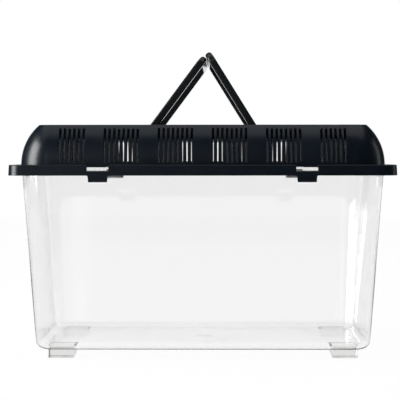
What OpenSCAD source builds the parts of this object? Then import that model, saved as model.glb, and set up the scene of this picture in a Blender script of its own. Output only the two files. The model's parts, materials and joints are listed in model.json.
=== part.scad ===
// Plastic pet keeper: a clear tank, a slotted snap-on lid with a feeding hatch, and two folding
// handles that meet over the lid.
// Millimetres. Origin: the middle of the footprint, on the surface that the feet stand on.
// X runs along the length, Y from front (-) to rear (+), Z up.

/* [Lid] */
// Length over the lid's skirt
lid_length = 367; // [340:1:440]
// Depth over the lid's skirt, front to rear
lid_depth = 227; // [205:1:280]
// Height of the lid's flat top above the ground
lid_top = 224; // [200:1:290]
// Thickness of the lid's walls
lid_wall = 2; // [1.5:0.1:2.6]
// Height of the skirt, from its lower edge to the top of the ledge
skirt_height = 10; // [8:0.5:14]
// Radius of the skirt's corners, at its lower edge
skirt_corner = 15; // [12:1:30]
// How far the skirt leans out from the ledge down to its lower edge
skirt_lean = 0.5; // [0:0.1:1.2]
// Rounding of the ledge's outer edge
edge_round = 1; // [0.4:0.1:1.4]
// Width of the ledge along the sides, from the skirt's lower edge in to the foot of the dome
ledge_width = 9; // [8:0.5:12]
// Height of the dome above the ledge
dome_height = 38; // [30:1:42]
// Radius of the dome's curved side
dome_radius = 50; // [46:1:60]

/* [Lid vents] */
// Width of one vent slot
slot_width = 2.5; // [1.5:0.1:3.2]
// Distance from one slot to the next
slot_pitch = 4.44; // [4:0.02:6]
// Most slots in one group
slots_in_group = 8; // [4:1:10]
// Plain wall between two groups of slots
group_gap = 17.6; // [10:0.2:25]
// Plain wall below the slots
slot_foot = 2; // [1:0.5:6]
// Least plain wall between the last slot and the start of the rounded corner
vent_margin = 6.5; // [2:0.5:12]
// Plain wall above the slots
slot_head = 3; // [2.6:0.2:8]
// Height of the long tie rib behind the slots, above the ledge
low_rib_height = 23; // [8:1:26]
// Height of the short tie rib behind the middle groups, above the ledge
high_rib_height = 31; // [28.5:0.5:33]
// Thickness of the tie ribs
rib_thickness = 1.2; // [0.8:0.1:2]

/* [Lid tray] */
// Depth of the tray sunk into the lid's top
tray_depth = 12; // [11:0.5:18]
// Width of the flat land at each end of the tray
end_land = 7.5; // [5:0.5:15]
// Width of the flat land in front of the tray and behind it
side_land = 15; // [11:0.5:25]
// Radius of the tray's corners
tray_corner = 8; // [3:0.5:10]

/* [Snap tabs] */
// Distance from each end of the skirt to the middle of a snap tab
tab_end_distance = 85.6; // [60:0.1:120]
// Width of the window above a snap tab, and of the tab where it leaves the skirt
window_width = 20.3; // [14:0.1:30]
// Depth of the window, in from the skirt's outer face
window_depth = 6.5; // [5:0.25:7]
// How far a snap tab hangs below the skirt
tab_drop = 6.2; // [4:0.2:10]
// How much narrower a snap tab gets on each side towards its lower end
tab_taper = 1.3; // [0:0.1:3]
// How far a snap tab's hook reaches in from the skirt's inner face
hook_reach = 3.25; // [3:0.25:4]

/* [Tank] */
// How far the skirt stands out past the tank's rim
skirt_overhang = 9.5; // [8.5:0.5:12]
// Radius of the rim's corners
rim_corner = 30; // [26:1:40]
// How far the sides draw in from the rim to the base
tank_draft = 13.4; // [4:0.1:14]
// Thickness of the tank's walls
tank_wall = 2.2; // [1.6:0.1:3.2]
// Thickness of the tank's floor
tank_floor = 2.5; // [1.6:0.1:4]
// Radius between the sides and the floor
base_radius = 9; // [5:0.5:11]
// Thickness of the flange
flange_thickness = 3.4; // [2:0.1:4]
// Height of the feet
foot_height = 8.5; // [4:0.5:14]
// Length of a foot, along X, where it meets the ground
foot_length = 24.7; // [14:0.1:40]
// Width of a foot, along Y
foot_width = 24; // [14:0.5:40]
// Distance of the feet from the sides of the base
foot_inset = 11.4; // [9:0.1:24]
// How much longer a foot is where it meets the base
foot_slant = 2.6; // [0:0.1:6]
// Diameter of the round moulding mark in the middle of the floor
gate_mark_d = 16; // [6:0.5:24]

/* [Handles] */
// Distance between the pivots of the two handles
pivot_spread = 106; // [96:1:116]
// Thickness of a handle, seen from the front
handle_thickness = 6.7; // [6:0.1:8]
// Width of a handle's arms, along Y
arm_width = 9; // [6:0.5:12]
// Width of a handle's grip, along its arms
grip_width = 8; // [6:0.5:12]
// Outer radius of a handle's corners
handle_corner = 14; // [10:0.5:20]
// Inner radius of a handle's corners
handle_fillet = 8; // [3:0.5:10]
// Diameter of the handles' pivot pins
pivot_pin_d = 5; // [3:0.1:6]
// How far left of the middle the left handle's tip stops
apex_shift = -0.3; // [-2:0.1:3]
// Outer diameter of the bosses that hold the pivot pins
boss_d = 11; // [10:0.5:14]
// Length of the bosses behind the tray's wall
boss_length = 4; // [2:0.25:6]

/* [Hatch] */
// Length of the hatch, along X
hatch_length = 84; // [60:1:100]
// Depth of the hatch, from its front edge to its hinge
hatch_depth = 50; // [36:1:54]
// Thickness of the hatch
hatch_thickness = 2; // [1.5:0.1:3]
// How far the hatch laps over the edge of its opening
hatch_lap = 4; // [2:0.25:8]
// Diameter of the hatch's hinge barrel
barrel_d = 5.2; // [4.4:0.1:7]
// Diameter of the hatch's hinge pins
hatch_pin_d = 3; // [2:0.1:3.6]
// Width of each hinge lug, along X
lug_width = 3.5; // [2:0.25:6]
// Width of the hatch's finger lip
lip_width = 18; // [10:1:40]
// How far the finger lip reaches past the hatch's front edge
lip_reach = 4; // [2:0.5:5]

/* [Clearances] */
// Gap between two parts that rest on each other
seat_gap = 0.3; // [0.2:0.05:0.5]
// Gap between the tank's flange and the skirt, where the skirt is narrowest
flange_gap = 0.5; // [0.3:0.1:1]
// Radial clearance around the pivot and hinge pins
pin_clearance = 0.08; // [0.04:0.01:0.1]
// Gap between a handle's arms and the tray's walls
handle_side_gap = 2; // [1:0.25:3]
// Gap between a folded handle's tip and the end of the tray
handle_end_gap = 4; // [1:0.2:6]

/* [Hidden] */
$fn = 96;
smoke_black = [0.06, 0.065, 0.075];
gloss_black = [0.04, 0.042, 0.05];
clear_tank = [0.86, 0.9, 0.93, 0.35];
clear_hatch = [0.80, 0.86, 0.9, 0.5];
// How deep one solid is let into the next where they are one piece
let_in = 0.5;
// How far a cut runs past the face that it opens
past = 1;

// The tank and the dome share the centres of their rounded corners, and the skirt has its own.
// An outline's first coordinate is the distance outside the rectangle that joins those centres.
rim_out = rim_corner;
dome_out = rim_out + skirt_overhang - ledge_width;
flange_out = rim_out + skirt_overhang - skirt_lean - lid_wall - flange_gap;
core_x = lid_length / 2 - skirt_overhang - rim_out;
core_y = lid_depth / 2 - skirt_overhang - rim_out;
skirt_core_x = lid_length / 2 - skirt_corner;
skirt_core_y = lid_depth / 2 - skirt_corner;

// Heights
ledge_top = lid_top - dome_height;
skirt_bottom = ledge_top - skirt_height;
rim_top = ledge_top - lid_wall - seat_gap;
flange_bottom = rim_top - flange_thickness;
base_bottom = foot_height;

// The dome's arc stands upright on the ledge and ends at the flat top.
dome_centre_out = dome_out - dome_radius;
function dome_at(height, radius) = dome_centre_out + sqrt(radius * radius - height * height);
land_out = dome_at(dome_height, dome_radius);

// The tray
tray_half_x = core_x + land_out - end_land;
tray_half_y = core_y + land_out - side_land;
tray_floor = lid_top - tray_depth;

// The handles
handle_round = handle_thickness / 2;
pivot_x = pivot_spread / 2;
pivot_z = tray_floor + seat_gap + handle_round;
handle_half_y = tray_half_y - handle_side_gap;
handle_length = tray_half_x - handle_end_gap - handle_round - pivot_x;
pivot_pin_end = tray_half_y + lid_wall + boss_length;
// The left handle's tip stops near the middle, and the right one's tip leans on it.
left_lean = acos((pivot_x - apex_shift) / handle_length);
left_tip = [-apex_shift, pivot_z + handle_length * sin(left_lean)];
tip_reach = norm([pivot_x - left_tip[0], left_tip[1] - pivot_z]);
tip_gap = 2 * handle_round + seat_gap;
tip_rise = atan2(left_tip[1] - pivot_z, pivot_x - left_tip[0]);
right_lean = tip_rise + acos((handle_length ^ 2 + tip_reach ^ 2 - tip_gap ^ 2)
    / (2 * handle_length * tip_reach));

// The hatch
hatch_half_x = hatch_length / 2;
hatch_front = -hatch_depth / 2;
hatch_hinge_y = hatch_depth / 2;
hatch_bottom = tray_floor + seat_gap;
hatch_hinge_z = hatch_bottom + barrel_d / 2;
lug_wall = 1;
lug_d = barrel_d + 2 * lug_wall;
lug_start = hatch_half_x + seat_gap;
opening_corner = 4;

// The snap tabs
tab_x = lid_length / 2 - tab_end_distance;
hook_top = flange_bottom - seat_gap;
hook_lip = 1.2;
tab_bottom = skirt_bottom - tab_drop;
skirt_inner_y = lid_depth / 2 - lid_wall;

// The vents: whole groups run out from the middle, and the last one takes the slots that fit.
vent_end = core_x - vent_margin;
group_length = (slots_in_group - 1) * slot_pitch + slot_width;
function group_start(i) = group_gap / 2 + i * (group_length + group_gap);
function slots_in(i) = min(slots_in_group,
    floor((vent_end - group_start(i) - slot_width) / slot_pitch) + 1);
groups_each_side = floor((vent_end - group_gap / 2 - slot_width) / (group_length + group_gap)) + 1;
// One entry for each slot on the right: its left edge
slot_edges = [for (i = [0 : groups_each_side - 1]) for (k = [0 : slots_in(i) - 1])
    group_start(i) + k * slot_pitch];
slot_bottom = ledge_top + slot_foot;
slot_top = lid_top - slot_head;
rib_depth = 2.6;

// ---------- shared shapes ----------

// Carries an outline round all four sides of a rectangle, given by half its length and depth.
module around(half_x, half_y) {
    for (turn = [0, 180]) rotate([0, 0, turn]) {
        translate([half_x, half_y, 0]) rotate([90, 0, 0]) linear_extrude(2 * half_y) children();
        rotate([0, 0, 90]) translate([half_y, half_x, 0]) rotate([90, 0, 0])
            linear_extrude(2 * half_x) children();
        translate([half_x, half_y, 0]) rotate_extrude(angle = 90) children();
        translate([-half_x, half_y, 0]) rotate([0, 0, 90]) rotate_extrude(angle = 90) children();
    }
}

// A flat plate over the core rectangle
module core_plate(bottom, top) {
    translate([-core_x, -core_y, bottom]) cube([2 * core_x, 2 * core_y, top - bottom]);
}

// A rectangle with four round corners, as an outline
module rounded_rectangle(half_x, half_y, radius) {
    square([2 * half_x, 2 * (half_y - radius)], center = true);
    square([2 * (half_x - radius), 2 * half_y], center = true);
    for (x = [-1, 1], y = [-1, 1])
        translate([x * (half_x - radius), y * (half_y - radius)]) circle(radius);
}

// Front and rear are alike.
module front_and_rear() {
    children();
    mirror([0, 1, 0]) children();
}

module both_ends() {
    children();
    mirror([1, 0, 0]) children();
}

// A straight pin along Y between two distances from the middle
module pin_along_y(from, to, diameter) {
    translate([0, to, 0]) rotate([90, 0, 0]) cylinder(d = diameter, h = to - from);
}

module pin_along_x(from, to, diameter) {
    translate([from, 0, 0]) rotate([0, 90, 0]) cylinder(d = diameter, h = to - from);
}

// ---------- tank ----------

// Half of a cup seen from the end: an upright side with draft, and a round lower corner
module cup_outline(low_out, low_z, high_out, high_z, radius) {
    rise = high_z - low_z;
    run = high_out - low_out;
    side = norm([run, rise]);
    tangent = radius * (side - run) / rise;
    touch = [low_out + tangent * run / side, low_z + tangent * rise / side];
    centre = [touch[0] - radius * rise / side, low_z + radius];
    polygon([[0, low_z], [centre[0], low_z], centre, touch, [high_out, high_z], [0, high_z]]);
    intersection() {
        translate(centre) circle(radius);
        translate([0, low_z]) square([high_out, radius]);
    }
}

module tank_outline() {
    slope = tank_draft / (rim_top - base_bottom);
    across = tank_wall * sqrt(1 + slope * slope);
    base_out = rim_out - tank_draft;
    inner_floor = base_bottom + tank_floor;
    difference() {
        cup_outline(base_out, base_bottom, rim_out, rim_top, base_radius);
        cup_outline(base_out + slope * tank_floor - across, inner_floor,
            rim_out + slope * past - across, rim_top + past, base_radius - tank_wall);
    }
    flange_root = rim_out - tank_wall / 2;
    translate([flange_root, flange_bottom]) square([flange_out - flange_root, flange_thickness]);
}

module foot() {
    outer_x = core_x + rim_out - tank_draft - foot_inset;
    outer_y = core_y + rim_out - tank_draft - foot_inset;
    translate([0, outer_y, 0]) rotate([90, 0, 0]) linear_extrude(foot_width)
        polygon([[outer_x, 0], [outer_x, base_bottom + let_in],
            [outer_x - foot_length - foot_slant, base_bottom + let_in],
            [outer_x - foot_length - foot_slant, base_bottom], [outer_x - foot_length, 0]]);
}

// The round mark where the plastic was let into the mould
module gate_mark() {
    mark_depth = 0.8;
    translate([0, 0, base_bottom - past]) cylinder(d = gate_mark_d, h = mark_depth + past);
}

module tank() {
    color(clear_tank) difference() {
        union() {
            around(core_x, core_y) tank_outline();
            core_plate(base_bottom, base_bottom + tank_floor);
            front_and_rear() both_ends() foot();
        }
        gate_mark();
    }
}

// ---------- lid ----------

// The region under a dome of the given radius, above a height
module dome_region(radius, bottom, top) {
    intersection() {
        translate([dome_centre_out, ledge_top]) circle(radius);
        translate([0, bottom]) square([dome_out, top - bottom]);
    }
}

// The dome's wall and top seen from the end, with its foot let down through the ledge
module dome_outline() {
    difference() {
        dome_region(dome_radius, ledge_top, lid_top);
        dome_region(dome_radius - lid_wall, ledge_top - past, lid_top - lid_wall);
    }
    translate([dome_out - lid_wall, ledge_top - lid_wall]) square(lid_wall);
}

// The skirt seen from the end, with the ledge's edge rounded
module skirt_outline() {
    edge_out = skirt_corner - skirt_lean;
    round_out = edge_out - edge_round;
    polygon([[skirt_corner - lid_wall, skirt_bottom], [skirt_corner, skirt_bottom],
        [edge_out, ledge_top - edge_round], [round_out, ledge_top - edge_round],
        [round_out, ledge_top], [edge_out - lid_wall, ledge_top],
        [edge_out - lid_wall, ledge_top - lid_wall]]);
    translate([round_out, ledge_top - edge_round]) circle(edge_round);
}

// The flat ring between the skirt and the foot of the dome
module ledge() {
    skirt_root = skirt_lean + lid_wall - let_in;
    dome_root = dome_out - lid_wall + let_in;
    translate([0, 0, ledge_top - lid_wall]) linear_extrude(lid_wall) difference() {
        rounded_rectangle(lid_length / 2 - skirt_root, lid_depth / 2 - skirt_root,
            skirt_corner - skirt_root);
        rounded_rectangle(core_x + dome_root, core_y + dome_root, dome_root);
    }
}

module tray_tub() {
    translate([0, 0, tray_floor - lid_wall]) linear_extrude(tray_depth + lid_wall)
        rounded_rectangle(tray_half_x + lid_wall, tray_half_y + lid_wall, tray_corner + lid_wall);
}

module tray_hollow() {
    translate([0, 0, tray_floor]) linear_extrude(tray_depth + past)
        rounded_rectangle(tray_half_x, tray_half_y, tray_corner);
}

// Moves what follows to a handle's pivot.
module at_pivot() {
    translate([pivot_x, 0, pivot_z]) children();
}

module pivot_boss() {
    at_pivot() pin_along_y(tray_half_y + let_in, pivot_pin_end, boss_d);
}

module pivot_bore() {
    at_pivot() pin_along_y(tray_half_y - past, pivot_pin_end + past, pivot_pin_d + 2 * pin_clearance);
}

module slots() {
    for (edge = slot_edges)
        translate([edge, core_y + land_out - lid_wall, slot_bottom])
            cube([slot_width, dome_out, slot_top - slot_bottom]);
}

// A thin rib that ties the bars between the slots together, behind them
module tie_rib(height, half_length) {
    wall_y = core_y + dome_at(height, dome_radius - lid_wall);
    translate([-half_length, wall_y - rib_depth + let_in, ledge_top + height - rib_thickness / 2])
        cube([2 * half_length, rib_depth, rib_thickness]);
}

module window() {
    translate([tab_x - window_width / 2, lid_depth / 2 - window_depth, hook_top])
        cube([window_width, window_depth + past, ledge_top - hook_top + past]);
}

// A snap tab hangs below its window and hooks under the tank's flange.
module snap_tab() {
    half_top = window_width / 2;
    half_bottom = half_top - tab_taper;
    translate([tab_x, lid_depth / 2, 0]) rotate([90, 0, 0]) linear_extrude(lid_wall)
        polygon([[-half_top, hook_top], [half_top, hook_top], [half_top, skirt_bottom],
            [half_bottom, tab_bottom], [-half_bottom, tab_bottom], [-half_top, skirt_bottom]]);
    translate([tab_x + half_bottom, 0, 0]) rotate([0, -90, 0]) linear_extrude(2 * half_bottom)
        polygon([[hook_top, skirt_inner_y + let_in], [hook_top, skirt_inner_y - hook_reach],
            [hook_top - hook_lip, skirt_inner_y - hook_reach],
            [tab_bottom + hook_lip, skirt_inner_y], [tab_bottom + hook_lip, skirt_inner_y + let_in]]);
}

module hatch_opening() {
    translate([0, 0, tray_floor - lid_wall - past]) linear_extrude(lid_wall + 2 * past)
        rounded_rectangle(hatch_half_x - hatch_lap, hatch_depth / 2 - hatch_lap, opening_corner);
}

// Moves what follows to the hatch's hinge line.
module at_hatch_hinge() {
    translate([0, hatch_hinge_y, hatch_hinge_z]) children();
}

module hinge_lug() {
    at_hatch_hinge() difference() {
        union() {
            pin_along_x(lug_start, lug_start + lug_width, lug_d);
            translate([lug_start, -lug_d / 2, tray_floor - let_in - hatch_hinge_z])
                cube([lug_width, lug_d, hatch_hinge_z - tray_floor + let_in]);
        }
        pin_along_x(lug_start - past, lug_start + lug_width + past, hatch_pin_d + 2 * pin_clearance);
    }
}

module lid() {
    color(smoke_black) {
        difference() {
            union() {
                around(core_x, core_y) dome_outline();
                around(skirt_core_x, skirt_core_y) skirt_outline();
                ledge();
                core_plate(lid_top - lid_wall, lid_top);
                tray_tub();
                front_and_rear() both_ends() pivot_boss();
            }
            tray_hollow();
            front_and_rear() both_ends() {
                pivot_bore();
                slots();
                window();
            }
            hatch_opening();
        }
        front_and_rear() {
            tie_rib(low_rib_height, slot_edges[len(slot_edges) - 1] + slot_width + past);
            tie_rib(high_rib_height, group_start(0) + group_length + past);
            both_ends() snap_tab();
        }
        both_ends() hinge_lug();
    }
}

// ---------- hatch ----------

module hatch() {
    lip_bead = 2;
    color(clear_hatch) {
        translate([-hatch_half_x, hatch_front, hatch_bottom])
            cube([hatch_length, hatch_depth, hatch_thickness]);
        at_hatch_hinge() {
            pin_along_x(-hatch_half_x, hatch_half_x, barrel_d);
            pin_along_x(-lug_start - lug_width, lug_start + lug_width, hatch_pin_d);
        }
        translate([-lip_width / 2, hatch_front - lip_reach, hatch_bottom]) {
            cube([lip_width, lip_reach + let_in, hatch_thickness]);
            cube([lip_width, lip_bead, hatch_thickness + lip_bead]);
        }
    }
}

// ---------- handles ----------

// A handle lying along +X from its pivot, seen from above
module handle_outline() {
    tip = handle_length + handle_round;
    inner_end = tip - grip_width;
    difference() {
        rounded_rectangle(tip, handle_half_y, handle_corner);
        rounded_rectangle(inner_end, handle_half_y - arm_width, handle_fillet);
        translate([-tip - past, -handle_half_y - past])
            square([tip + past - handle_thickness, 2 * (handle_half_y + past)]);
    }
}

// A bar as thick as the handle with two round ends, seen from the front
module handle_side() {
    width = 2 * handle_half_y;
    for (x = [0, handle_length])
        translate([x, 0, 0]) pin_along_y(-handle_half_y, handle_half_y, handle_thickness);
    translate([0, -handle_half_y, -handle_round]) cube([handle_length, width, handle_thickness]);
}

module handle() {
    intersection() {
        handle_side();
        translate([0, 0, -handle_thickness]) linear_extrude(2 * handle_thickness) handle_outline();
    }
    front_and_rear() pin_along_y(handle_half_y - let_in, pivot_pin_end, pivot_pin_d);
}

module handle_left() {
    color(gloss_black) translate([-pivot_x, 0, pivot_z]) rotate([0, -left_lean, 0]) handle();
}

module handle_right() {
    color(gloss_black) at_pivot() rotate([0, right_lean - 180, 0]) handle();
}

tank();
lid();
hatch();
handle_left();
handle_right();
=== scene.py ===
# %% [markdown]
# # A clear pet keeper with a black slotted lid
# A pet keeper is five mouldings: a clear tank, a black lid, a clear feeding hatch and two carry
# handles. The frame brings each one in at its real size and place. This first cell loads the frame and
# its joints, and a helper reads each part's box.

# %% Load the frame
import json
import math

import bmesh
import bpy
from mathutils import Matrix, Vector


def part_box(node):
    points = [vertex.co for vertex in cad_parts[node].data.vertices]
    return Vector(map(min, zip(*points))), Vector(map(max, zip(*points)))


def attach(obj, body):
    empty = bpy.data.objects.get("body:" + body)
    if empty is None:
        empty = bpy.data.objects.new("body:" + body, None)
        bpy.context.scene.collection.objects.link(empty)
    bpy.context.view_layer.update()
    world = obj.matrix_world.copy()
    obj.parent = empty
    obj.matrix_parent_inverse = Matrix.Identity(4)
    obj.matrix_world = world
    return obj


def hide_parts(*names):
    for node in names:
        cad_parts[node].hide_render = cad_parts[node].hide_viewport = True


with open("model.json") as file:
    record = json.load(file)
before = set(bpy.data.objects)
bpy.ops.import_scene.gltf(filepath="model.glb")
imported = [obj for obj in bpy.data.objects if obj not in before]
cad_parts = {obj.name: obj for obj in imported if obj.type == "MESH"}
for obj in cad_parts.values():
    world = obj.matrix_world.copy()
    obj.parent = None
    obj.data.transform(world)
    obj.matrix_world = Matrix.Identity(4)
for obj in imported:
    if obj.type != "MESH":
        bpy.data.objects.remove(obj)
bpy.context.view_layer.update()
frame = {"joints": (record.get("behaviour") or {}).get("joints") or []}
joints = {joint["name"]: joint for joint in frame["joints"]}

# %% [markdown]
# ## Sizes that the mouldings share
# The lid has to fit the tank and the handles have to fit the tray, so the sizes that two pieces
# share are written once. Lengths are in metres. The overall sizes come from the frame's own boxes,
# and what a mould maker would choose, such as a wall or a corner, is named here.

# %% Shared sizes
MM = 0.001
TINY = 0.01 * MM
lid_low, lid_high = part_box("lid")

LID_WALL = 2 * MM
SEAT_GAP = 0.3 * MM
RIM_CORNER = 30 * MM
RIM_SETBACK = 9.5 * MM
LET_IN = 0.5 * MM
EASED_EDGE = 0.3 * MM

lid_top = lid_high.z
rim_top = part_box("tank")[1].z
ledge_top = rim_top + SEAT_GAP + LID_WALL
corner_centre = (lid_high.x - RIM_SETBACK - RIM_CORNER, lid_high.y - RIM_SETBACK - RIM_CORNER)
print("The ledge lies", round(ledge_top / MM, 1), "mm above the ground")

# %% [markdown]
# ## Working in edit mode by place
# A modeller selects with the mouse. A script has to say where things are instead, so this helper
# selects the vertices, edges or faces for which a test on their place is true, and nothing else.

# %% Select by place
def make_active(piece):
    """Selects one object and nothing else."""
    bpy.ops.object.select_all(action="DESELECT")
    piece.select_set(True)
    bpy.context.view_layer.objects.active = piece


def pick(piece, kind, wanted):
    """In edit mode, selects the verts, edges or faces for which wanted() is true."""
    bpy.ops.mesh.select_mode(type={"verts": "VERT", "edges": "EDGE", "faces": "FACE"}[kind])
    bpy.ops.mesh.select_all(action="DESELECT")
    mesh = bmesh.from_edit_mesh(piece.data)
    chosen = [item for item in getattr(mesh, kind) if wanted(item)]
    for item in chosen:
        item.select_set(True)
    mesh.select_flush_mode()
    bmesh.update_edit_mesh(piece.data)
    return chosen


def middle(item):
    """The middle of an edge or a face."""
    return sum((vert.co for vert in item.verts), Vector()) / len(item.verts)


# %% [markdown]
# ## Growing a moulding from its rounded outline
# The tank and the lid are both rounded rectangles whose size changes with height. One quarter of
# such an outline is a chain of edges: an arc at the corner and a straight run to each middle
# plane. Extruding that chain again and again, with its arc scaled about the corner's own centre,
# carries a profile round the corner at an even distance. A mirror then makes the other quarters.
# Scaling a whole rectangle would be quicker, but it would squash the arcs into ellipses.

# %% Chains of edges
ARC_STEPS = 24


def start_chain(name, outline, steps=ARC_STEPS):
    """Makes the first quarter outline, given as a corner centre, a radius and a height."""
    (x, y), radius, height = outline
    bpy.ops.object.select_all(action="DESELECT")
    bpy.ops.mesh.primitive_circle_add(vertices=4 * steps, radius=radius, location=(x, y, height))
    piece = bpy.context.object
    piece.name = piece.data.name = name
    bpy.ops.object.transform_apply(location=True)
    bpy.ops.object.mode_set(mode="EDIT")
    pick(piece, "verts", lambda vert: vert.co.x < x - TINY or vert.co.y < y - TINY)
    bpy.ops.mesh.delete(type="VERT")
    pick(piece, "verts", lambda vert: vert.co.x > x + radius - TINY)
    bpy.ops.mesh.extrude_vertices_move(TRANSFORM_OT_translate={"value": (0, -y, 0)})
    pick(piece, "verts", lambda vert: vert.co.y > y + radius - TINY)
    bpy.ops.mesh.extrude_vertices_move(TRANSFORM_OT_translate={"value": (-x, 0, 0)})
    pick(piece, "verts", lambda vert: True)
    return piece


def grow_chain(piece, old, new):
    """Extrudes the selected chain from one quarter outline to the next one."""
    (old_x, old_y), old_radius, old_z = old
    (new_x, new_y), new_radius, new_z = new
    bpy.ops.mesh.extrude_region_move(TRANSFORM_OT_translate={"value": (0, 0, new_z - old_z)})
    chain = {vert.index for vert in bmesh.from_edit_mesh(piece.data).verts if vert.select}
    scale = new_radius / old_radius
    grown = new_radius - old_radius
    pick(piece, "verts", lambda vert: vert.index in chain and vert.co.x > old_x - TINY
         and vert.co.y > old_y - TINY)
    bpy.ops.transform.resize(value=(scale, scale, 1), center_override=(old_x, old_y, new_z))
    bpy.ops.transform.translate(value=(new_x - old_x, new_y - old_y, 0))
    pick(piece, "verts", lambda vert: vert.index in chain and abs(vert.co.y) < TINY)
    bpy.ops.transform.translate(value=(new_x - old_x + grown, 0, 0))
    pick(piece, "verts", lambda vert: vert.index in chain and abs(vert.co.x) < TINY)
    bpy.ops.transform.translate(value=(0, new_y - old_y + grown, 0))
    pick(piece, "verts", lambda vert: vert.index in chain)


def sweep(name, outlines, steps=ARC_STEPS):
    """Carries a chain through a list of quarter outlines and leaves the last one selected."""
    piece = start_chain(name, outlines[0], steps)
    for old, new in zip(outlines, outlines[1:]):
        grow_chain(piece, old, new)
    return piece


# %% [markdown]
# ## Modifiers that finish a moulding
# These helpers add one modifier and apply it. Mirror makes the other quarters, Bevel rounds every
# edge that turns sharply, and Weighted Normal keeps the flats flat beside their rounded edges.
# Welding merges the corners that a mirror or a join can leave on each other.

# %% Finishing helpers
SHARP_DEG = 35
SMOOTH_DEG = 60


def apply_modifier(piece, kind, **settings):
    make_active(piece)
    modifier = piece.modifiers.new(kind.title(), kind)
    for name, value in settings.items():
        setattr(modifier, name, value)
    bpy.ops.object.modifier_apply(modifier=modifier.name)


def weld(piece):
    """Merges corners that lie on each other and points every face outwards."""
    make_active(piece)
    bpy.ops.object.mode_set(mode="EDIT")
    bpy.ops.mesh.select_all(action="SELECT")
    bpy.ops.mesh.remove_doubles(threshold=TINY)
    bpy.ops.mesh.normals_make_consistent(inside=False)
    bpy.ops.object.mode_set(mode="OBJECT")


def mirror(piece, across_x=True, across_y=True):
    """Mirrors a quarter or a half and welds the seam."""
    apply_modifier(piece, "MIRROR", use_axis=(across_x, across_y, False), merge_threshold=TINY)
    weld(piece)


def round_edges(piece, width, segments=2, sharper_than=SHARP_DEG):
    apply_modifier(piece, "BEVEL", width=width, segments=segments, limit_method="ANGLE",
                   angle_limit=math.radians(sharper_than))


def combine(piece, tool, operation):
    """Joins a tool to a piece, or cuts it away, and deletes the tool."""
    apply_modifier(piece, "BOOLEAN", operation=operation, object=tool, solver="EXACT")
    bpy.data.objects.remove(tool)


def finish_surface(piece):
    """Smooth shading with sharp creases kept, and a line about what was made."""
    make_active(piece)
    bpy.ops.object.shade_smooth_by_angle(angle=math.radians(SMOOTH_DEG))
    apply_modifier(piece, "WEIGHTED_NORMAL", keep_sharp=True)
    mesh = bmesh.new()
    mesh.from_mesh(piece.data)
    open_edges = sum(1 for edge in mesh.edges if not edge.is_manifold)
    print(f"{piece.name}: {len(mesh.faces)} faces, {open_edges} open edges,",
          f"{mesh.calc_volume() / MM**3 / 1000:.1f} cm3")
    mesh.free()


# %% [markdown]
# ## The lid's skin
# The lid is one moulding with an even wall, so it is modelled as its outer skin first: up the
# skirt, round the ledge's edge, in to the dome, over it, and down into the tray to the edge of the
# hatch's opening. The wall gets its thickness later, all at once.

# %% Lid sizes
SKIRT_CORNER = 15 * MM
SKIRT_HEIGHT = 10 * MM
SKIRT_LEAN = 0.5 * MM
EDGE_ROUND = 1 * MM
LEDGE_WIDTH = 9 * MM
DOME_RADIUS = 50 * MM
SLOT_FOOT = 2 * MM
SLOT_HEAD = 3 * MM
TRAY_DEPTH = 12 * MM
TRAY_CORNER = 8 * MM
END_LAND = 7.5 * MM
SIDE_LAND = 15 * MM
WINDOW_DEPTH = 6.5 * MM
FLANGE_THICKNESS = 3.4 * MM
HATCH_HALF = (42 * MM, 25 * MM)
HATCH_LAP = 4 * MM
OPENING_CORNER = 4 * MM
DOME_STEPS = 11
EDGE_STEPS = 4

skirt_centre = (lid_high.x - SKIRT_CORNER, lid_high.y - SKIRT_CORNER)
skirt_bottom = ledge_top - SKIRT_HEIGHT
dome_out = RIM_CORNER + RIM_SETBACK - LEDGE_WIDTH
hook_top = rim_top - FLANGE_THICKNESS - SEAT_GAP
slot_bottom = ledge_top + SLOT_FOOT
slot_top = lid_top - SLOT_HEAD


def dome_at(height, radius=DOME_RADIUS):
    """How far the dome stands out from its corner centre, at a height above the ledge."""
    return dome_out - DOME_RADIUS + math.sqrt(radius**2 - height**2)


land_out = dome_at(lid_top - ledge_top)
tray_half = (corner_centre[0] + land_out - END_LAND, corner_centre[1] + land_out - SIDE_LAND)
tray_floor = lid_top - TRAY_DEPTH
print("The tray is", [round(2 * half / MM, 1) for half in tray_half], "mm long and deep")


# %% Lid profile
def skirt_profile():
    """Outlines from the skirt's lower edge over its rounded edge to the ledge."""
    top_out = SKIRT_CORNER - SKIRT_LEAN
    straight_top = ledge_top - EDGE_ROUND
    share = (hook_top - skirt_bottom) / (straight_top - skirt_bottom)
    outlines = [(skirt_centre, SKIRT_CORNER, skirt_bottom),
                (skirt_centre, SKIRT_CORNER - share * SKIRT_LEAN, hook_top)]
    for step in range(EDGE_STEPS + 1):
        turn = math.pi / 2 * step / EDGE_STEPS
        outlines.append((skirt_centre, top_out - EDGE_ROUND * (1 - math.cos(turn)),
                         straight_top + EDGE_ROUND * math.sin(turn)))
    outlines.append((skirt_centre, SKIRT_CORNER - WINDOW_DEPTH, ledge_top))
    return outlines


def dome_profile():
    """Outlines from the dome's foot up to its flat land, with one at each end of the slots."""
    first = math.asin(SLOT_FOOT / DOME_RADIUS)
    last = math.asin((slot_top - ledge_top) / DOME_RADIUS)
    turns = [first + (last - first) * step / DOME_STEPS for step in range(DOME_STEPS + 1)]
    heights = [0] + [DOME_RADIUS * math.sin(turn) for turn in turns] + [lid_top - ledge_top]
    return [(corner_centre, dome_at(height), ledge_top + height) for height in heights]


def tray_profile():
    """Outlines of the tray's edge, its floor and the hatch's opening."""
    tray_centre = (tray_half[0] - TRAY_CORNER, tray_half[1] - TRAY_CORNER)
    opening_centre = tuple(half - HATCH_LAP - OPENING_CORNER for half in HATCH_HALF)
    return [(tray_centre, TRAY_CORNER, lid_top), (tray_centre, TRAY_CORNER, tray_floor),
            (opening_centre, OPENING_CORNER, tray_floor)]


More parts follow.
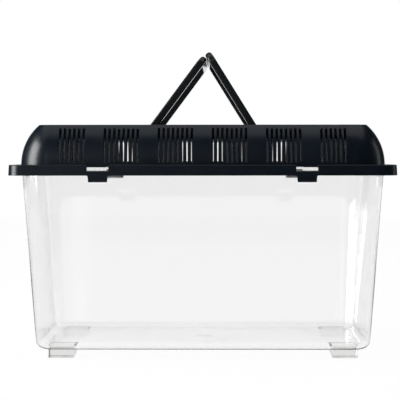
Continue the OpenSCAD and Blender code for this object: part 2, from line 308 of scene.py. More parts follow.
lid = sweep("lid_moulding", skirt_profile() + dome_profile() + tray_profile())
bpy.ops.object.mode_set(mode="OBJECT")
print("A quarter of the lid's skin has", len(lid.data.polygons), "faces")

# %% [markdown]
# ## Vent slots and tab windows
# The dome breathes through groups of upright slots, and above each snap tab a window in the ledge
# shows the tank's flange. Cutting them with boxes would leave ragged faces, so the skin is bisected
# along both edges of each slot, and the faces between are deleted.

# %% Cut the vents
SLOT_WIDTH = 2.5 * MM
SLOT_PITCH = 4.44 * MM
GROUP_GAP = 17.6 * MM
SLOTS_IN_GROUPS = (8, 8, 6)
GROUP_LENGTH = (SLOTS_IN_GROUPS[0] - 1) * SLOT_PITCH + SLOT_WIDTH

slot_edges = [GROUP_GAP / 2 + group * (GROUP_LENGTH + GROUP_GAP) + slot * SLOT_PITCH
              for group, slots in enumerate(SLOTS_IN_GROUPS) for slot in range(slots)]


def bisect_faces(piece, wanted, place, axis):
    """Cuts the wanted faces along a plane square to one axis."""
    normal = {"x": (1, 0, 0), "y": (0, 1, 0), "z": (0, 0, 1)}[axis]
    pick(piece, "faces", wanted)
    bpy.ops.mesh.bisect(plane_co=tuple(place * part for part in normal), plane_no=normal)


def is_vent_band(face):
    centre = middle(face)
    return (slot_bottom < centre.z < slot_top and centre.x < corner_centre[0]
            and centre.y > corner_centre[1] + land_out)


make_active(lid)
bpy.ops.object.mode_set(mode="EDIT")
for edge in slot_edges:
    for place in (edge, edge + SLOT_WIDTH):
        bisect_faces(lid, is_vent_band, place, "x")
pick(lid, "faces", lambda face: is_vent_band(face) and any(
    edge < middle(face).x < edge + SLOT_WIDTH for edge in slot_edges))
bpy.ops.mesh.delete(type="FACE")
print("Cut", 4 * len(slot_edges), "vent slots")

# %% [markdown]
# ## Snap tabs
# Below each window the skirt runs on down as a snap tab, a little narrower at its tip. The skirt's
# lower edge is drawn down twice: a short step for the shoulders, then the long, nearly upright
# sides.

# %% Cut the windows and draw down the snap tabs
TAB_FROM_END = 85.6 * MM
WINDOW_WIDTH = 20.3 * MM
TAB_TAPER = 1.3 * MM
TAB_SHOULDER = 0.8 * MM
tab_x = lid_high.x - TAB_FROM_END
tab_drop = skirt_bottom - lid_low.z
tab_half = WINDOW_WIDTH / 2


def is_front_skirt(face):
    centre = middle(face)
    return (centre.z < ledge_top + TINY and centre.x < skirt_centre[0]
            and centre.y > lid_high.y - WINDOW_DEPTH - TINY)


def in_window(face):
    return (is_front_skirt(face) and middle(face).z > hook_top
            and abs(middle(face).x - tab_x) < tab_half)


for place in (tab_x - tab_half, tab_x + tab_half):
    bisect_faces(lid, is_front_skirt, place, "x")
pick(lid, "faces", in_window)
bpy.ops.mesh.delete(type="FACE")
pick(lid, "verts", lambda vert: vert.co.z < skirt_bottom + TINY and vert.co.y > skirt_centre[1]
     and abs(vert.co.x - tab_x) < tab_half + TINY)
half_now = tab_half
for drop, half_next in ((TAB_SHOULDER, tab_half - TAB_SHOULDER),
                        (tab_drop - TAB_SHOULDER, tab_half - TAB_TAPER)):
    bpy.ops.mesh.extrude_region_move(TRANSFORM_OT_translate={"value": (0, 0, -drop)})
    bpy.ops.transform.resize(value=(half_next / half_now, 1, 1),
                             center_override=(tab_x, lid_high.y, lid_low.z))
    half_now = half_next
bpy.ops.object.mode_set(mode="OBJECT")
print("The snap tabs reach down to", round(lid_low.z / MM, 1), "mm")

# %% [markdown]
# ## The lid's wall
# The quarter is mirrored into the whole skin. Solidify then gives it its wall on the inside, so
# the outer shape stays as modelled.

# %% Give the lid its wall
mirror(lid)
apply_modifier(lid, "SOLIDIFY", thickness=LID_WALL, offset=-1, use_even_offset=True,
               use_quality_normals=True)
print("The lid's shell has", len(lid.data.polygons), "faces")

# %% [markdown]
# ## Draft of the slots
# A moulded slot is wider outside than inside, so that the blade that forms it can draw out. The
# inner corners of each slot's sides are moved towards its middle. Then all the lid's sharp edges
# are eased with one bevel, as a mould's edges are.

# %% Draft the slots
SLOT_DRAFT = 0.7 * MM
dome_centre_y = corner_centre[1] + dome_out - DOME_RADIUS


def is_on_inner_dome(vert):
    """True on the dome's inner surface, in the straight stretch that the slots are cut in."""
    reach = math.hypot(abs(vert.co.y) - dome_centre_y, vert.co.z - ledge_top)
    return (abs(vert.co.x) < corner_centre[0] and slot_bottom - MM < vert.co.z < slot_top + MM
            and abs(reach - DOME_RADIUS + LID_WALL) < LID_WALL / 4)


def is_on_side(vert, sides):
    return any(abs(abs(vert.co.x) - side) < TINY for side in sides)


near_sides = slot_edges
far_sides = [edge + SLOT_WIDTH for edge in slot_edges]
make_active(lid)
bpy.ops.object.mode_set(mode="EDIT")
for half in (1, -1):
    for sides, to_middle in ((near_sides, half), (far_sides, -half)):
        moved = pick(lid, "verts", lambda vert: vert.co.x * half > 0
                     and is_on_inner_dome(vert) and is_on_side(vert, sides))
        bpy.ops.transform.translate(value=(to_middle * SLOT_DRAFT, 0, 0))
        print("Moved", len(moved), "corners of the slots by", round(SLOT_DRAFT / MM, 2), "mm")
bpy.ops.object.mode_set(mode="OBJECT")
round_edges(lid, EASED_EDGE)

# %% [markdown]
# ## The lid's inner works
# Behind the wall sit the hooks of the snap tabs, the ribs that tie the thin bars together, the
# bosses that hold the handles' pins and the lugs of the hatch's hinge. They are plain blocks and
# pins with eased edges, modelled once and mirrored, then joined to the shell with booleans. That is
# cleaner than pulling them out of the shell's own faces, which the slots have cut up.


# %% Blocks and pins
def add_block(name, low, high):
    """A block between two corners, with its place in its mesh."""
    low, high = Vector(low), Vector(high)
    bpy.ops.object.select_all(action="DESELECT")
    bpy.ops.mesh.primitive_cube_add(size=1, location=(low + high) / 2, scale=high - low)
    bpy.ops.object.transform_apply(location=True, rotation=True, scale=True)
    block = bpy.context.object
    block.name = name
    return block


def add_pin(name, start, end, diameter, steps=32):
    """A straight round pin between two points."""
    start, end = Vector(start), Vector(end)
    turn = (end - start).to_track_quat("Z", "Y").to_euler()
    bpy.ops.object.select_all(action="DESELECT")
    bpy.ops.mesh.primitive_cylinder_add(vertices=steps, radius=diameter / 2, rotation=turn,
                                        depth=(end - start).length, location=(start + end) / 2)
    bpy.ops.object.transform_apply(location=True, rotation=True, scale=True)
    pin = bpy.context.object
    pin.name = name
    return pin


# %% Hooks, ribs and bosses
HOOK_REACH = 3.25 * MM
HOOK_LIP = 1.2 * MM
RIB_THICKNESS = 1.2 * MM
RIB_DEPTH = 2.6 * MM
RIB_HEIGHTS = (23 * MM, 31 * MM)
BOSS_D = 11 * MM
BOSS_LENGTH = 4 * MM
PIVOT_PIN_D = 5 * MM
PIN_CLEARANCE = 0.08 * MM

pivot = Vector(joints["handle_right_fold"]["pos_m"])
pin_end = tray_half[1] + LID_WALL + BOSS_LENGTH


def add_hook():
    """A snap tab's hook: flat on top, under the tank's flange, and sloped below."""
    inner = lid_high.y - LID_WALL
    low = lid_low.z + HOOK_LIP
    hook = add_block("hook", (tab_x - tab_half + TAB_TAPER, inner - HOOK_REACH, low),
                     (tab_x + tab_half - TAB_TAPER, inner + LET_IN, hook_top))
    bpy.ops.object.mode_set(mode="EDIT")
    pick(hook, "verts", lambda vert: vert.co.z < low + TINY and vert.co.y < inner - TINY)
    bpy.ops.transform.translate(value=(0, 0, hook_top - HOOK_LIP - low))
    bpy.ops.object.mode_set(mode="OBJECT")
    round_edges(hook, EASED_EDGE)
    return hook


def add_rib(height, half_length):
    """A tie rib behind the slots, let into the bars."""
    wall_y = corner_centre[1] + dome_at(height, DOME_RADIUS - LID_WALL)
    middle_z = ledge_top + height
    return add_block("rib", (-half_length, wall_y - RIB_DEPTH + LET_IN, middle_z - RIB_THICKNESS / 2),
                     (half_length, wall_y + LET_IN, middle_z + RIB_THICKNESS / 2))


rib_ends = (slot_edges[-1] + SLOT_WIDTH + MM, slot_edges[SLOTS_IN_GROUPS[0] - 1] + SLOT_WIDTH + MM)
for height, half_length in zip(RIB_HEIGHTS, rib_ends):
    rib = add_rib(height, half_length)
    mirror(rib, across_x=False)
    combine(lid, rib, "UNION")
for extra in (add_hook(), add_pin("boss", (pivot.x, tray_half[1] + LET_IN, pivot.z),
                                  (pivot.x, pin_end, pivot.z), BOSS_D)):
    mirror(extra)
    combine(lid, extra, "UNION")
bore = add_pin("bore", (pivot.x, tray_half[1] - MM, pivot.z), (pivot.x, pin_end + MM, pivot.z),
               PIVOT_PIN_D + 2 * PIN_CLEARANCE)
mirror(bore)
combine(lid, bore, "DIFFERENCE")
print("Hooks, ribs, bosses and bores are in")

# %% Hinge lugs
BARREL_D = 5.2 * MM
HINGE_PIN_D = 3 * MM
LUG_WALL = 1 * MM
LUG_WIDTH = 3.5 * MM
hinge = Vector(joints["hatch_hinge"]["pos_m"])
lug_start = HATCH_HALF[0] + SEAT_GAP
lug_radius = BARREL_D / 2 + LUG_WALL

lug = add_pin("lug", (lug_start, hinge.y, hinge.z), (lug_start + LUG_WIDTH, hinge.y, hinge.z),
              2 * lug_radius)
combine(lug, add_block("lug_root", (lug_start, hinge.y - lug_radius, tray_floor - LET_IN),
                       (lug_start + LUG_WIDTH, hinge.y + lug_radius, hinge.z)), "UNION")
round_edges(lug, EASED_EDGE, sharper_than=50)
combine(lug, add_pin("lug_bore", (lug_start - MM, hinge.y, hinge.z),
                     (lug_start + LUG_WIDTH + MM, hinge.y, hinge.z),
                     HINGE_PIN_D + 2 * PIN_CLEARANCE), "DIFFERENCE")
mirror(lug, across_y=False)
combine(lid, lug, "UNION")
finish_surface(lid)

# %% [markdown]
# ## The tank
# The tank is one clear moulding: a drafted box with a round foot to its walls, a flange round the
# rim and four feet. Light bends at every surface of it, so it must be one closed solid with no
# faces inside. The sweep starts at the floor, runs up the outside, round the flange and down the
# inside, and the two flats in the middle are filled last.

# %% Tank sizes
TANK_WALL = 2.2 * MM
TANK_FLOOR = 2.5 * MM
TANK_DRAFT = 13.4 * MM
BASE_RADIUS = 9 * MM
FLANGE_GAP = 0.5 * MM
TANK_EDGE = 0.4 * MM
FOOT_HEIGHT = 8.5 * MM
FOOT_LENGTH = 24.7 * MM
FOOT_WIDTH = 24 * MM
FOOT_INSET = 11.4 * MM
FOOT_SLANT = 2.6 * MM
FOOT_CORNER = 1.2 * MM
FOOT_EDGE = 0.35 * MM
GATE_MARK_D = 16 * MM
GATE_MARK_DEPTH = 0.8 * MM
FILLET_STEPS = 8

base_bottom = FOOT_HEIGHT
lean = math.atan(TANK_DRAFT / (rim_top - base_bottom))
base_out = RIM_CORNER - TANK_DRAFT
flange_bottom = rim_top - FLANGE_THICKNESS
flange_out = RIM_CORNER + RIM_SETBACK - SKIRT_LEAN - LID_WALL - FLANGE_GAP
print("The walls lean out by", round(math.degrees(lean), 2), "degrees")


# %% Tank profile
def base_fillet(low_out, low_z, radius):
    """Outlines of the round corner between a floor and a leaning wall, from the floor up."""
    reach = radius * (1 - math.sin(lean)) / math.cos(lean)
    centre_out = low_out + reach * math.sin(lean) - radius * math.cos(lean)
    outlines = []
    for step in range(FILLET_STEPS + 1):
        turn = (math.pi / 2 - lean) * step / FILLET_STEPS - math.pi / 2
        outlines.append((corner_centre, centre_out + radius * math.cos(turn),
                         low_z + radius + radius * math.sin(turn)))
    return outlines


def wall_out(height):
    """How far the outside of the wall stands out at a height above the ground."""
    return base_out + (height - base_bottom) * math.tan(lean)


def close_middle(piece, outline):
    """Fills the flat between a quarter outline and the middle of the moulding."""
    (x, y), radius, height = outline

    def on_chain(vert):
        return (abs(vert.co.z - height) < TINY and vert.co.x < x + radius + TINY
                and vert.co.y < y + radius + TINY)

    pick(piece, "verts", lambda vert: on_chain(vert) and vert.co.x < TINY)
    bpy.ops.mesh.extrude_vertices_move(TRANSFORM_OT_translate={"value": (0, -y - radius, 0)})
    pick(piece, "verts", on_chain)
    bpy.ops.mesh.edge_face_add()


across = TANK_WALL / math.cos(lean)
inner_floor = base_bottom + TANK_FLOOR
outside = base_fillet(base_out, base_bottom, BASE_RADIUS)
inside = base_fillet(wall_out(inner_floor) - across, inner_floor, BASE_RADIUS - TANK_WALL)
rim = [(corner_centre, wall_out(flange_bottom), flange_bottom),
       (corner_centre, flange_out, flange_bottom), (corner_centre, flange_out, rim_top),
       (corner_centre, RIM_CORNER - across, rim_top)]
tank = sweep("tank_moulding", outside + rim + inside[::-1])
close_middle(tank, inside[0])
close_middle(tank, outside[0])
bpy.ops.object.mode_set(mode="OBJECT")
mirror(tank)
round_edges(tank, TANK_EDGE)
print("The tank's shell has", len(tank.data.polygons), "faces")

# %% [markdown]
# ## Feet and gate mark
# Each foot is a low block with one slanted side, sunk a little into the floor so that the join
# leaves no face inside the clear plastic. Its upright corners are rounded and its lower edges only
# eased: a wide rounding below would bend light into a dark line along the foot. The gate mark is
# the shallow round dent where the plastic was let into the mould.

# %% Feet and gate mark
foot_x = corner_centre[0] + base_out - FOOT_INSET
foot_y = corner_centre[1] + base_out - FOOT_INSET
foot_top = base_bottom + LET_IN
foot = add_block("foot", (foot_x - FOOT_LENGTH, foot_y - FOOT_WIDTH, 0), (foot_x, foot_y, foot_top))
bpy.ops.object.mode_set(mode="EDIT")
pick(foot, "verts", lambda vert: vert.co.z > foot_top - TINY and vert.co.x < foot_x - TINY)
bpy.ops.transform.translate(value=(-FOOT_SLANT, 0, 0))
pick(foot, "edges", lambda edge: abs(middle(edge).z - foot_top / 2) < TINY)
bpy.ops.mesh.bevel(offset=FOOT_CORNER, segments=4, affect="EDGES")
pick(foot, "edges", lambda edge: middle(edge).z < TINY)
bpy.ops.mesh.bevel(offset=FOOT_EDGE, segments=2, affect="EDGES")
bpy.ops.object.mode_set(mode="OBJECT")
mirror(foot)
combine(tank, foot, "UNION")
combine(tank, add_pin("gate_mark", (0, 0, base_bottom - MM), (0, 0, base_bottom + GATE_MARK_DEPTH),
                      GATE_MARK_D, steps=64), "DIFFERENCE")
finish_surface(tank)

# %% [markdown]
# ## The feeding hatch
# The hatch is a small clear door in the tray. It laps over the edge of its opening, turns on two
# pins moulded into its barrel, and has a bead along its finger lip. Its blocks share faces, so the
# joined mesh is welded before its edges are rounded. The last join leaves one open sliver with
# three corners, which is filled so that the mesh is closed.

# %% Hatch
HATCH_THICKNESS = 2 * MM
LIP_WIDTH = 18 * MM
LIP_REACH = 4 * MM
LIP_BEAD = 2 * MM
HATCH_CORNER = 2 * MM
HATCH_EDGE = 0.25 * MM
hatch_bottom = tray_floor + SEAT_GAP
hatch_top = hatch_bottom + HATCH_THICKNESS
hatch_x, hatch_y = HATCH_HALF

hatch = add_block("hatch_moulding", (-hatch_x, -hatch_y, hatch_bottom), (hatch_x, hatch_y, hatch_top))
bpy.ops.object.mode_set(mode="EDIT")
pick(hatch, "edges", lambda edge: abs(middle(edge).z - (hatch_bottom + hatch_top) / 2) < TINY
     and middle(edge).y < 0)
bpy.ops.mesh.bevel(offset=HATCH_CORNER, segments=5, affect="EDGES")
bpy.ops.object.mode_set(mode="OBJECT")

# %% Lip, barrel and hinge pins
lip_front = -hatch_y - LIP_REACH
lip_half = LIP_WIDTH / 2
lip = add_block("lip", (-lip_half, lip_front, hatch_bottom), (lip_half, -hatch_y + LET_IN, hatch_top))
combine(lip, add_block("bead", (-lip_half, lip_front, hatch_bottom),
                       (lip_half, lip_front + LIP_BEAD, hatch_top + LIP_BEAD)), "UNION")
combine(hatch, lip, "UNION")
combine(hatch, add_pin("barrel", (-hatch_x, hinge.y, hinge.z), (hatch_x, hinge.y, hinge.z),
                       BARREL_D), "UNION")
weld(hatch)
round_edges(hatch, HATCH_EDGE, sharper_than=40)
hinge_pin_end = lug_start + LUG_WIDTH
combine(hatch, add_pin("hinge_pins", (-hinge_pin_end, hinge.y, hinge.z),
                       (hinge_pin_end, hinge.y, hinge.z), HINGE_PIN_D), "UNION")
weld(hatch)
bpy.ops.object.mode_set(mode="EDIT")
bpy.ops.mesh.fill_holes(sides=3)
bpy.ops.object.mode_set(mode="OBJECT")
finish_surface(hatch)

# %% [markdown]
# ## The carry handles
# A handle is a flat bail with a round grip edge. Half of it is swept flat, from its outer outline
# to its inner one, and given its thickness. One bevel then rounds all its edges: bevel weights
# make it wide at the grip and at the pivots, and narrow along the arms. The other half is
# mirrored, the pins are joined on, and each copy is turned about its pivot to lean on the other.
# The rounding comes out a little full at the tip, so the tip is first set back by that much.

# %% Handle sizes
HANDLE_THICKNESS = 6.7 * MM
ARM_WIDTH = 9 * MM
GRIP_WIDTH = 8 * MM
HANDLE_CORNER = 11 * MM
HANDLE_FILLET = 8 * MM
HANDLE_SIDE_GAP = 2 * MM
HANDLE_END_GAP = 4 * MM
TIP_SETBACK = 0.3 * MM
GRIP_ROUND = 3.3 * MM
ARM_ROUND = 1.2 * MM
PIN_EDGE = 0.4 * MM
HANDLE_STEPS = 12

handle_half_y = tray_half[1] - HANDLE_SIDE_GAP
handle_tip = tray_half[0] - HANDLE_END_GAP - pivot.x - TIP_SETBACK
handle_round = HANDLE_THICKNESS / 2
grip_inner = handle_tip - GRIP_WIDTH
print("A handle reaches", round(handle_tip / MM, 1), "mm from its pivot")


# %% How round each edge gets
def edge_weight(edge):
    """How much of the full rounding an edge gets: all at the grip and the pivot, less on the arms."""
    place = middle(edge)
    share = ARM_ROUND / GRIP_ROUND
    if place.x < -handle_round + TINY:
        return 1
    if abs(edge.verts[0].co.z - edge.verts[1].co.z) > TINY:
        return 0
    corner_start = handle_tip - HANDLE_CORNER
    if place.x < grip_inner + TINY or place.x < corner_start:
        return share
    along = (place.x - corner_start) / HANDLE_CORNER
    return share + (1 - share) * along**2


# %% Model one handle
def make_handle():
    """One whole handle, lying flat with its pivot at the origin."""
    outer = ((handle_tip - HANDLE_CORNER, handle_half_y - HANDLE_CORNER), HANDLE_CORNER, -handle_round)
    inner = ((grip_inner - HANDLE_FILLET, handle_half_y - ARM_WIDTH - HANDLE_FILLET),
             HANDLE_FILLET, -handle_round)
    handle = sweep("handle", [outer, inner], HANDLE_STEPS)
    pick(handle, "verts", lambda vert: vert.co.x < TINY)
    bpy.ops.mesh.extrude_region_move(TRANSFORM_OT_translate={"value": (-handle_round, 0, 0)})
    bpy.ops.mesh.select_all(action="SELECT")
    bpy.ops.mesh.extrude_region_move(TRANSFORM_OT_translate={"value": (0, 0, HANDLE_THICKNESS)})
    pick(handle, "faces", lambda face: abs(middle(face).y) < TINY)
    bpy.ops.mesh.delete(type="FACE")
    bpy.ops.object.mode_set(mode="OBJECT")
    mirror(handle, across_x=False)
    bpy.ops.object.mode_set(mode="EDIT")
    pick(handle, "edges", lambda edge: edge.is_manifold
         and edge.calc_face_angle() < math.radians(SHARP_DEG) and abs(middle(edge).y) < TINY)
    bpy.ops.mesh.dissolve_edges()
    mesh = bmesh.from_edit_mesh(handle.data)
    weights = mesh.edges.layers.float.new("bevel_weight_edge")
    for edge in mesh.edges:
        if edge.calc_face_angle() > math.radians(SHARP_DEG):
            edge[weights] = edge_weight(edge)
    bmesh.update_edit_mesh(handle.data)
    bpy.ops.object.mode_set(mode="OBJECT")
    apply_modifier(handle, "BEVEL", width=GRIP_ROUND, segments=6, limit_method="WEIGHT",
                   use_clamp_overlap=False)
    pin = add_pin("pin", (0, handle_half_y - LET_IN, 0), (0, pin_end, 0), PIVOT_PIN_D)
    round_edges(pin, PIN_EDGE)
    mirror(pin, across_x=False)
    combine(handle, pin, "UNION")
    return handle


# %% Place both handles
def place_handle(handle, name, joint_name, turn):
    """Names a handle and turns it about its pivot."""
    handle.name = handle.data.name = name
    handle.location = joints[joint_name]["pos_m"]
    handle.rotation_euler = (0, turn, 0)
    make_active(handle)
    bpy.ops.object.transform_apply(location=True, rotation=True)
    finish_surface(handle)
    return handle


def rest_lean(joint_name):
    """A raised handle's lean: what is left of half a turn after it has folded flat."""
    return math.pi - math.radians(joints[joint_name]["range_deg"][1])


left_bail = make_handle()
right_bail = left_bail.copy()
right_bail.data = left_bail.data.copy()
bpy.context.collection.objects.link(right_bail)
place_handle(left_bail, "handle_left_bail", "handle_left_fold", -rest_lean("handle_left_fold"))
place_handle(right_bail, "handle_right_bail", "handle_right_fold",
             rest_lean("handle_right_fold") - math.pi)

# %% [markdown]
# ## Which body each piece rides on
# Each moulding stands for the frame's own solid, and moves with its body.

# %% Ride on the bodies
for piece, node, slot in ((tank, "tank", "clear_polystyrene"), (lid, "lid", "black_polypropylene"),
                          (hatch, "hatch", "clear_hatch"), (left_bail, "handle_left", "black_handle"),
                          (right_bail, "handle_right", "black_handle")):
    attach(piece, node)
    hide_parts(node)
    print(piece.name, "rides on", node)

# %% [markdown]
# ## Finishes
# Every finish is a small tree of shader nodes, and short helpers add the nodes that are needed more
# than once. The patterns are fine noise on Object coordinates, so that they stay put on the piece
# from any side and need no unwrapping.

# %% Node helpers
NOISE_RANGE = (0.3, 0.7)


def clear_tree(owner):
    """Gives a material or a world an empty node tree."""
    owner.use_nodes = True
    owner.node_tree.nodes.clear()
    return owner.node_tree


def feed(tree, socket, value):
    """Links another node to a socket, or writes a plain number on it."""
    if isinstance(value, bpy.types.NodeSocket):
        tree.links.new(value, socket)
    else:
        socket.default_value = value


def add_ramp(tree, value, start, end, low, high, kind="LINEAR"):
    """A level that goes from low at the start to high at the end."""
    ramp = tree.nodes.new("ShaderNodeMapRange")
    ramp.interpolation_type = kind
    for name, number in (("Value", value), ("From Min", start), ("From Max", end),
                         ("To Min", low), ("To Max", high)):
        feed(tree, ramp.inputs[name], number)
    return ramp.outputs["Result"]


def axes(tree, coordinates="Object"):
    """The X, Y and Z of a piece's own coordinates, or of another kind of coordinates."""
    place = tree.nodes.new("ShaderNodeTexCoord")
    split = tree.nodes.new("ShaderNodeSeparateXYZ")
    tree.links.new(place.outputs[coordinates], split.inputs[0])
    return split.outputs


# %% Finish helpers
def new_material(name):
    """A fresh material with its tree and its principled shader."""
    material = bpy.data.materials.new(name)
    tree = clear_tree(material)
    shader = tree.nodes.new("ShaderNodeBsdfPrincipled")
    output = tree.nodes.new("ShaderNodeOutputMaterial")
    tree.links.new(shader.outputs["BSDF"], output.inputs["Surface"])
    return material, tree, shader


def noise(tree, scale, detail=2.0):
    """Noise on the piece's own coordinates, in features per metre."""
    place = tree.nodes.new("ShaderNodeTexCoord")
    texture = tree.nodes.new("ShaderNodeTexNoise")
    texture.inputs["Scale"].default_value = scale
    texture.inputs["Detail"].default_value = detail
    tree.links.new(place.outputs["Object"], texture.inputs["Vector"])
    return texture.outputs["Fac"]


def spread(tree, value, low, high):
    """Maps a noise onto a range of values."""
    return add_ramp(tree, value, *NOISE_RANGE, low, high)


def bump(tree, shader, height, distance):
    """Relief that tilts the light only, with its depth in metres."""
    relief = tree.nodes.new("ShaderNodeBump")
    relief.inputs["Strength"].default_value = 1
    relief.inputs["Distance"].default_value = distance
    tree.links.new(height, relief.inputs["Height"])
    tree.links.new(relief.outputs["Normal"], shader.inputs["Normal"])


# %% [markdown]
# ## Black polypropylene
# The lid comes from a mould with a fine satin grain, and the handles from a polished one. Both
# blacks are a little blue. The gloss wanders slightly where the plastic flowed, and the colour
# lightens where hands have rubbed it.


# %% Black plastic
RUB_SCALE = 22
FLOW_SCALE = 45
GRAIN_SCALE = 1600
BLACK_IOR = 1.49


def black_plastic(name, dark, light, gloss, grain):
    """A black between two shades, with a range of roughness and a depth of grain."""
    material, tree, shader = new_material(name)
    mix = tree.nodes.new("ShaderNodeMix")
    mix.data_type = "RGBA"
    mix.inputs["A"].default_value = (*dark, 1)
    mix.inputs["B"].default_value = (*light, 1)
    tree.links.new(spread(tree, noise(tree, RUB_SCALE, 4), 0, 1), mix.inputs["Factor"])
    tree.links.new(mix.outputs["Result"], shader.inputs["Base Color"])
    tree.links.new(spread(tree, noise(tree, FLOW_SCALE, 3), *gloss), shader.inputs["Roughness"])
    shader.inputs["IOR"].default_value = BLACK_IOR
    bump(tree, shader, noise(tree, GRAIN_SCALE), grain)
    return material


lid_black = black_plastic("satin black polypropylene", (0.0018, 0.0048, 0.0098),
                          (0.0026, 0.0062, 0.0120), (0.26, 0.34), 0.004 * MM)
handle_black = black_plastic("gloss black polypropylene", (0.0078, 0.0092, 0.0106),
                             (0.0096, 0.0112, 0.0128), (0.07, 0.12), 0.001 * MM)

# %% [markdown]
# ## Clear polystyrene
# Clear polystyrene bends light strongly. It is a touch smoky, which shows only where light runs a
# long way through it, as along a wall's edge, so the smoke is a volume and not a colour on the
# surface. The walls carry a slow ripple from the flow of the plastic and a gloss that wanders a
# little. The feet keep one even gloss.


# %% Clear plastic
FEET_END = 7.5 * MM
WALLS_START = 9.5 * MM
FEET_GLOSS = 0.05
SCUFF_SCALE = 60
RIPPLE_SCALE = 12
RIPPLE_DEPTH = 0.01 * MM
CLEAR_IOR = 1.57
SMOKE_COLOUR = (0.02, 0.03, 0.0)
SMOKE_PER_METRE = 12


def clear_plastic(name, gloss):
    """Clear plastic with a range of roughness above its feet."""
    material, tree, shader = new_material(name)
    shader.inputs["Base Color"].default_value = (1, 1, 1, 1)
    shader.inputs["Transmission Weight"].default_value = 1
    shader.inputs["IOR"].default_value = CLEAR_IOR
    wall_gloss = spread(tree, noise(tree, SCUFF_SCALE, 4), *gloss)
    roughness = add_ramp(tree, axes(tree)["Z"], FEET_END, WALLS_START, FEET_GLOSS, wall_gloss)
    tree.links.new(roughness, shader.inputs["Roughness"])
    bump(tree, shader, noise(tree, RIPPLE_SCALE, 1), RIPPLE_DEPTH)
    smoke = tree.nodes.new("ShaderNodeVolumeAbsorption")
    smoke.inputs["Color"].default_value = (*SMOKE_COLOUR, 1)
    smoke.inputs["Density"].default_value = SMOKE_PER_METRE
    output = next(node for node in tree.nodes if node.type == "OUTPUT_MATERIAL")
    tree.links.new(smoke.outputs["Volume"], output.inputs["Volume"])
    return material


tank_clear = clear_plastic("clear polystyrene", (0.03, 0.06))
hatch_clear = clear_plastic("clear polystyrene of the hatch", (0.03, 0.07))

# %% Give each piece its finish
for piece, material in ((tank, tank_clear), (hatch, hatch_clear), (lid, lid_black),
                        (left_bail, handle_black), (right_bail, handle_black)):
    piece.data.materials.clear()
    piece.data.materials.append(material)
    print(piece.name, "is finished in", material.name)

# %% [markdown]
# ## Camera
# The keeper is seen almost square on, from a little above the lid, as for a catalogue.

# %% Camera
PICTURE_SIDE = 400
FOCAL_PX = 1387.7
SENSOR_MM = 36
CAMERA_PLACE = (0.0144, -1.408, 0.198)
LOOK_DOWN_DEG = 1.981
ROLL_DEG = 0.043
LOOK_LEFT_DEG = 0.731
camera_data = bpy.data.cameras.new("camera")
camera_data.sensor_width = SENSOR_MM
camera_data.lens = FOCAL_PX / PICTURE_SIDE * SENSOR_MM
camera = bpy.data.objects.new("camera", camera_data)
camera.location = CAMERA_PLACE
camera.rotation_euler = (math.radians(90 - LOOK_DOWN_DEG), math.radians(ROLL_DEG),
                         math.radians(LOOK_LEFT_DEG))
bpy.context.scene.collection.objects.link(camera)
bpy.context.scene.camera = camera
print("The lens is", round(camera_data.lens, 1), "mm long")

# %% [markdown]
# ## Floor
# The floor is plain pale paper. Rays that carry light find the paper itself, so it bounces light and
# takes the keeper's shadow. Rays that only look, straight or through clear plastic, find it nearly
# white. Rays off gloss find a painted reflection instead of the lit paper: white right under the
# keeper and far behind it, and a painted dark floor in between, so that glossy black and clear walls
# show their shape as in a dark room with a white wall.


# %% Floor helpers
def add_math(tree, operation, first, second):
    """A math node on two sockets or numbers."""
    node = tree.nodes.new("ShaderNodeMath")
    node.operation = operation
    feed(tree, node.inputs[0], first)
    feed(tree, node.inputs[1], second)
    return node.outputs[0]


def add_mix(tree, factor, first, second):
    """A mix of two levels."""
    node = tree.nodes.new("ShaderNodeMix")
    for name, value in (("Factor", factor), ("A", first), ("B", second)):
        feed(tree, node.inputs[name], value)
    return node.outputs["Result"]


def shown_rays(tree, with_glossy=True):
    """1 for rays that only look: from the camera, through clear plastic or off gloss."""
    light_path = tree.nodes.new("ShaderNodeLightPath")
    seen = add_math(tree, "MAXIMUM", light_path.outputs["Is Camera Ray"],
                    light_path.outputs["Is Transmission Ray"])
    if with_glossy:
        seen = add_math(tree, "MAXIMUM", seen, light_path.outputs["Is Glossy Ray"])
    return seen


# %% Floor
FLOOR_SIZE = 3.4
FLOOR_CENTRE = (0, 1.1, -0.0005)
PAPER = 0.9
FLOOR_SHOWN = 0.97
# The level that gloss sees between the white patches: a painted dark reflection, not the paper's own
# shade.
PAINTED_FLOOR_IN_GLOSS = 0.15
UNDER_KEEPER_M2 = (0.035, 0.06)
FAR_BEHIND_M = (0.55, 0.75)
bpy.ops.object.select_all(action="DESELECT")
bpy.ops.mesh.primitive_plane_add(size=FLOOR_SIZE, location=FLOOR_CENTRE)
floor = bpy.context.object
floor.name = "floor"
print("The floor is", FLOOR_SIZE, "m wide")

# %% Floor finish
floor_material = bpy.data.materials.new("pale floor")
tree = clear_tree(floor_material)
paper = tree.nodes.new("ShaderNodeBsdfDiffuse")
paper.inputs["Color"].default_value = (PAPER, PAPER, PAPER, 1)
white = tree.nodes.new("ShaderNodeEmission")
white.inputs["Color"].default_value = (1, 1, 1, 1)
side, back, _ = axes(tree)
back = add_math(tree, "ADD", back, FLOOR_CENTRE[1])
from_keeper = add_math(tree, "ADD", add_math(tree, "MULTIPLY", side, side),
                       add_math(tree, "MULTIPLY", back, back))
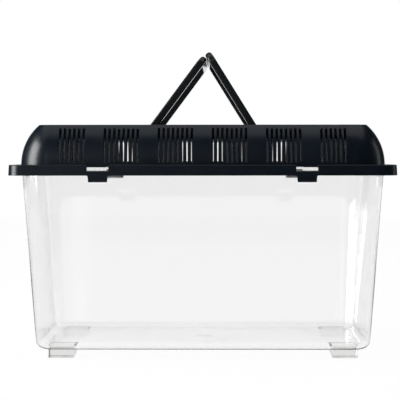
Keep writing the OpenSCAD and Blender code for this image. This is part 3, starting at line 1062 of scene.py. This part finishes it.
# Painted reflection: glossy rays see the floor white under the keeper and far behind it, and a painted
# dark level between, which no lamp or object casts.
painted_reflection_level = add_math(tree, "MAXIMUM",
                       add_ramp(tree, from_keeper, *UNDER_KEEPER_M2, 1.0, PAINTED_FLOOR_IN_GLOSS),
                       add_ramp(tree, back, *FAR_BEHIND_M, PAINTED_FLOOR_IN_GLOSS, 1.0))
shown_level = add_mix(tree, shown_rays(tree, with_glossy=False), painted_reflection_level, 1.0)
tree.links.new(shown_level, white.inputs["Strength"])
mix = tree.nodes.new("ShaderNodeMixShader")
output = tree.nodes.new("ShaderNodeOutputMaterial")
tree.links.new(add_math(tree, "MULTIPLY", shown_rays(tree), FLOOR_SHOWN), mix.inputs["Fac"])
tree.links.new(paper.outputs[0], mix.inputs[1])
tree.links.new(white.outputs[0], mix.inputs[2])
tree.links.new(mix.outputs[0], output.inputs["Surface"])
floor.data.materials.append(floor_material)
print("The floor shows", FLOOR_SHOWN, "of white, and", PAINTED_FLOOR_IN_GLOSS, "in gloss between")

# %% [markdown]
# ## World
# The world fills the scene evenly with light, and seen straight it is white. In gloss it shows a
# painted reflection: a white wall behind the keeper alone, which lights nothing, and a painted dark
# front. Through clear plastic it shows painted shade: it falls off to the sides, so that the edges of
# the tank draw thin dark lines on the white.

# %% World
FILL = 0.5
FRONT_SHOWN = 0.015
SIDE_SHOWN = 0.1
PAINTED_WALL_IN_GLOSS = (0.86, 0.985)
PAINTED_SIDE_SHADE_IN_CLEAR = (0.3, 0.8)
world = bpy.data.worlds.new("studio")
bpy.context.scene.world = world
tree = clear_tree(world)
behind = axes(tree, "Generated")["Y"]
light_path = tree.nodes.new("ShaderNodeLightPath")
# Painted reflection: glossy rays see a white wall behind and a dark front, neither of which lights the
# keeper.
level = add_mix(tree, light_path.outputs["Is Glossy Ray"], FILL,
                add_ramp(tree, behind, *PAINTED_WALL_IN_GLOSS, FRONT_SHOWN, 1.0, "SMOOTHSTEP"))
# Painted shade: seen through clear plastic the world darkens towards the sides, which draws dark lines
# along the tank's edges.
along_view = add_math(tree, "ABSOLUTE", behind, 0)
level = add_mix(tree, light_path.outputs["Is Transmission Ray"], level,
                add_ramp(tree, along_view, *PAINTED_SIDE_SHADE_IN_CLEAR, SIDE_SHOWN, 1.0, "SMOOTHSTEP"))
level = add_mix(tree, light_path.outputs["Is Camera Ray"], level, 1.0)
background = tree.nodes.new("ShaderNodeBackground")
background.inputs["Color"].default_value = (1, 1, 1, 1)
tree.links.new(level, background.inputs["Strength"])
output = tree.nodes.new("ShaderNodeOutputWorld")
tree.links.new(background.outputs[0], output.inputs["Surface"])
# The white wall and the dark front are seen in gloss only, as a painted reflection.
print("The wall behind shows white, and the dark front shows", FRONT_SHOWN)

# %% [markdown]
# ## Softboxes
# A tall softbox on the left gives most of the light and draws the long highlight on the lid's left
# end. A narrow strip on the right answers it, and a wide softbox overhead lights the top. Two weak
# ones in front, one low and one high, lift the black of the lid's front by a little.


# %% Softboxes
def softbox(name, place, target, width, height, watts):
    """A rectangular area light that faces its target."""
    light = bpy.data.lights.new(name, "AREA")
    light.shape = "RECTANGLE"
    light.size = width
    light.size_y = height
    light.energy = watts
    lamp = bpy.data.objects.new(name, light)
    lamp.location = place
    lamp.rotation_euler = (Vector(target) - Vector(place)).to_track_quat("-Z", "Y").to_euler()
    bpy.context.scene.collection.objects.link(lamp)
    print(name, "gives", watts, "W")


MID_KEEPER = (0, 0, 0.15)
softbox("left softbox", (-1.4, -0.42, 0.52), MID_KEEPER, 0.78, 1.25, 29)
softbox("right strip", (1.45, 0.25, 0.45), MID_KEEPER, 0.2, 1.0, 1.2)
softbox("overhead softbox", (0, 0, 1.8), MID_KEEPER, 2.4, 1.6, 8)
softbox("front softbox", (-0.7, -2.0, 0.5), MID_KEEPER, 0.8, 1.2, 1.1)
softbox("upper front softbox", (-0.5, -1.8, 1.15), (0, 0, 0.2), 1.0, 1.0, 0.5)

bpy.context.scene.view_settings.view_transform = "Standard"
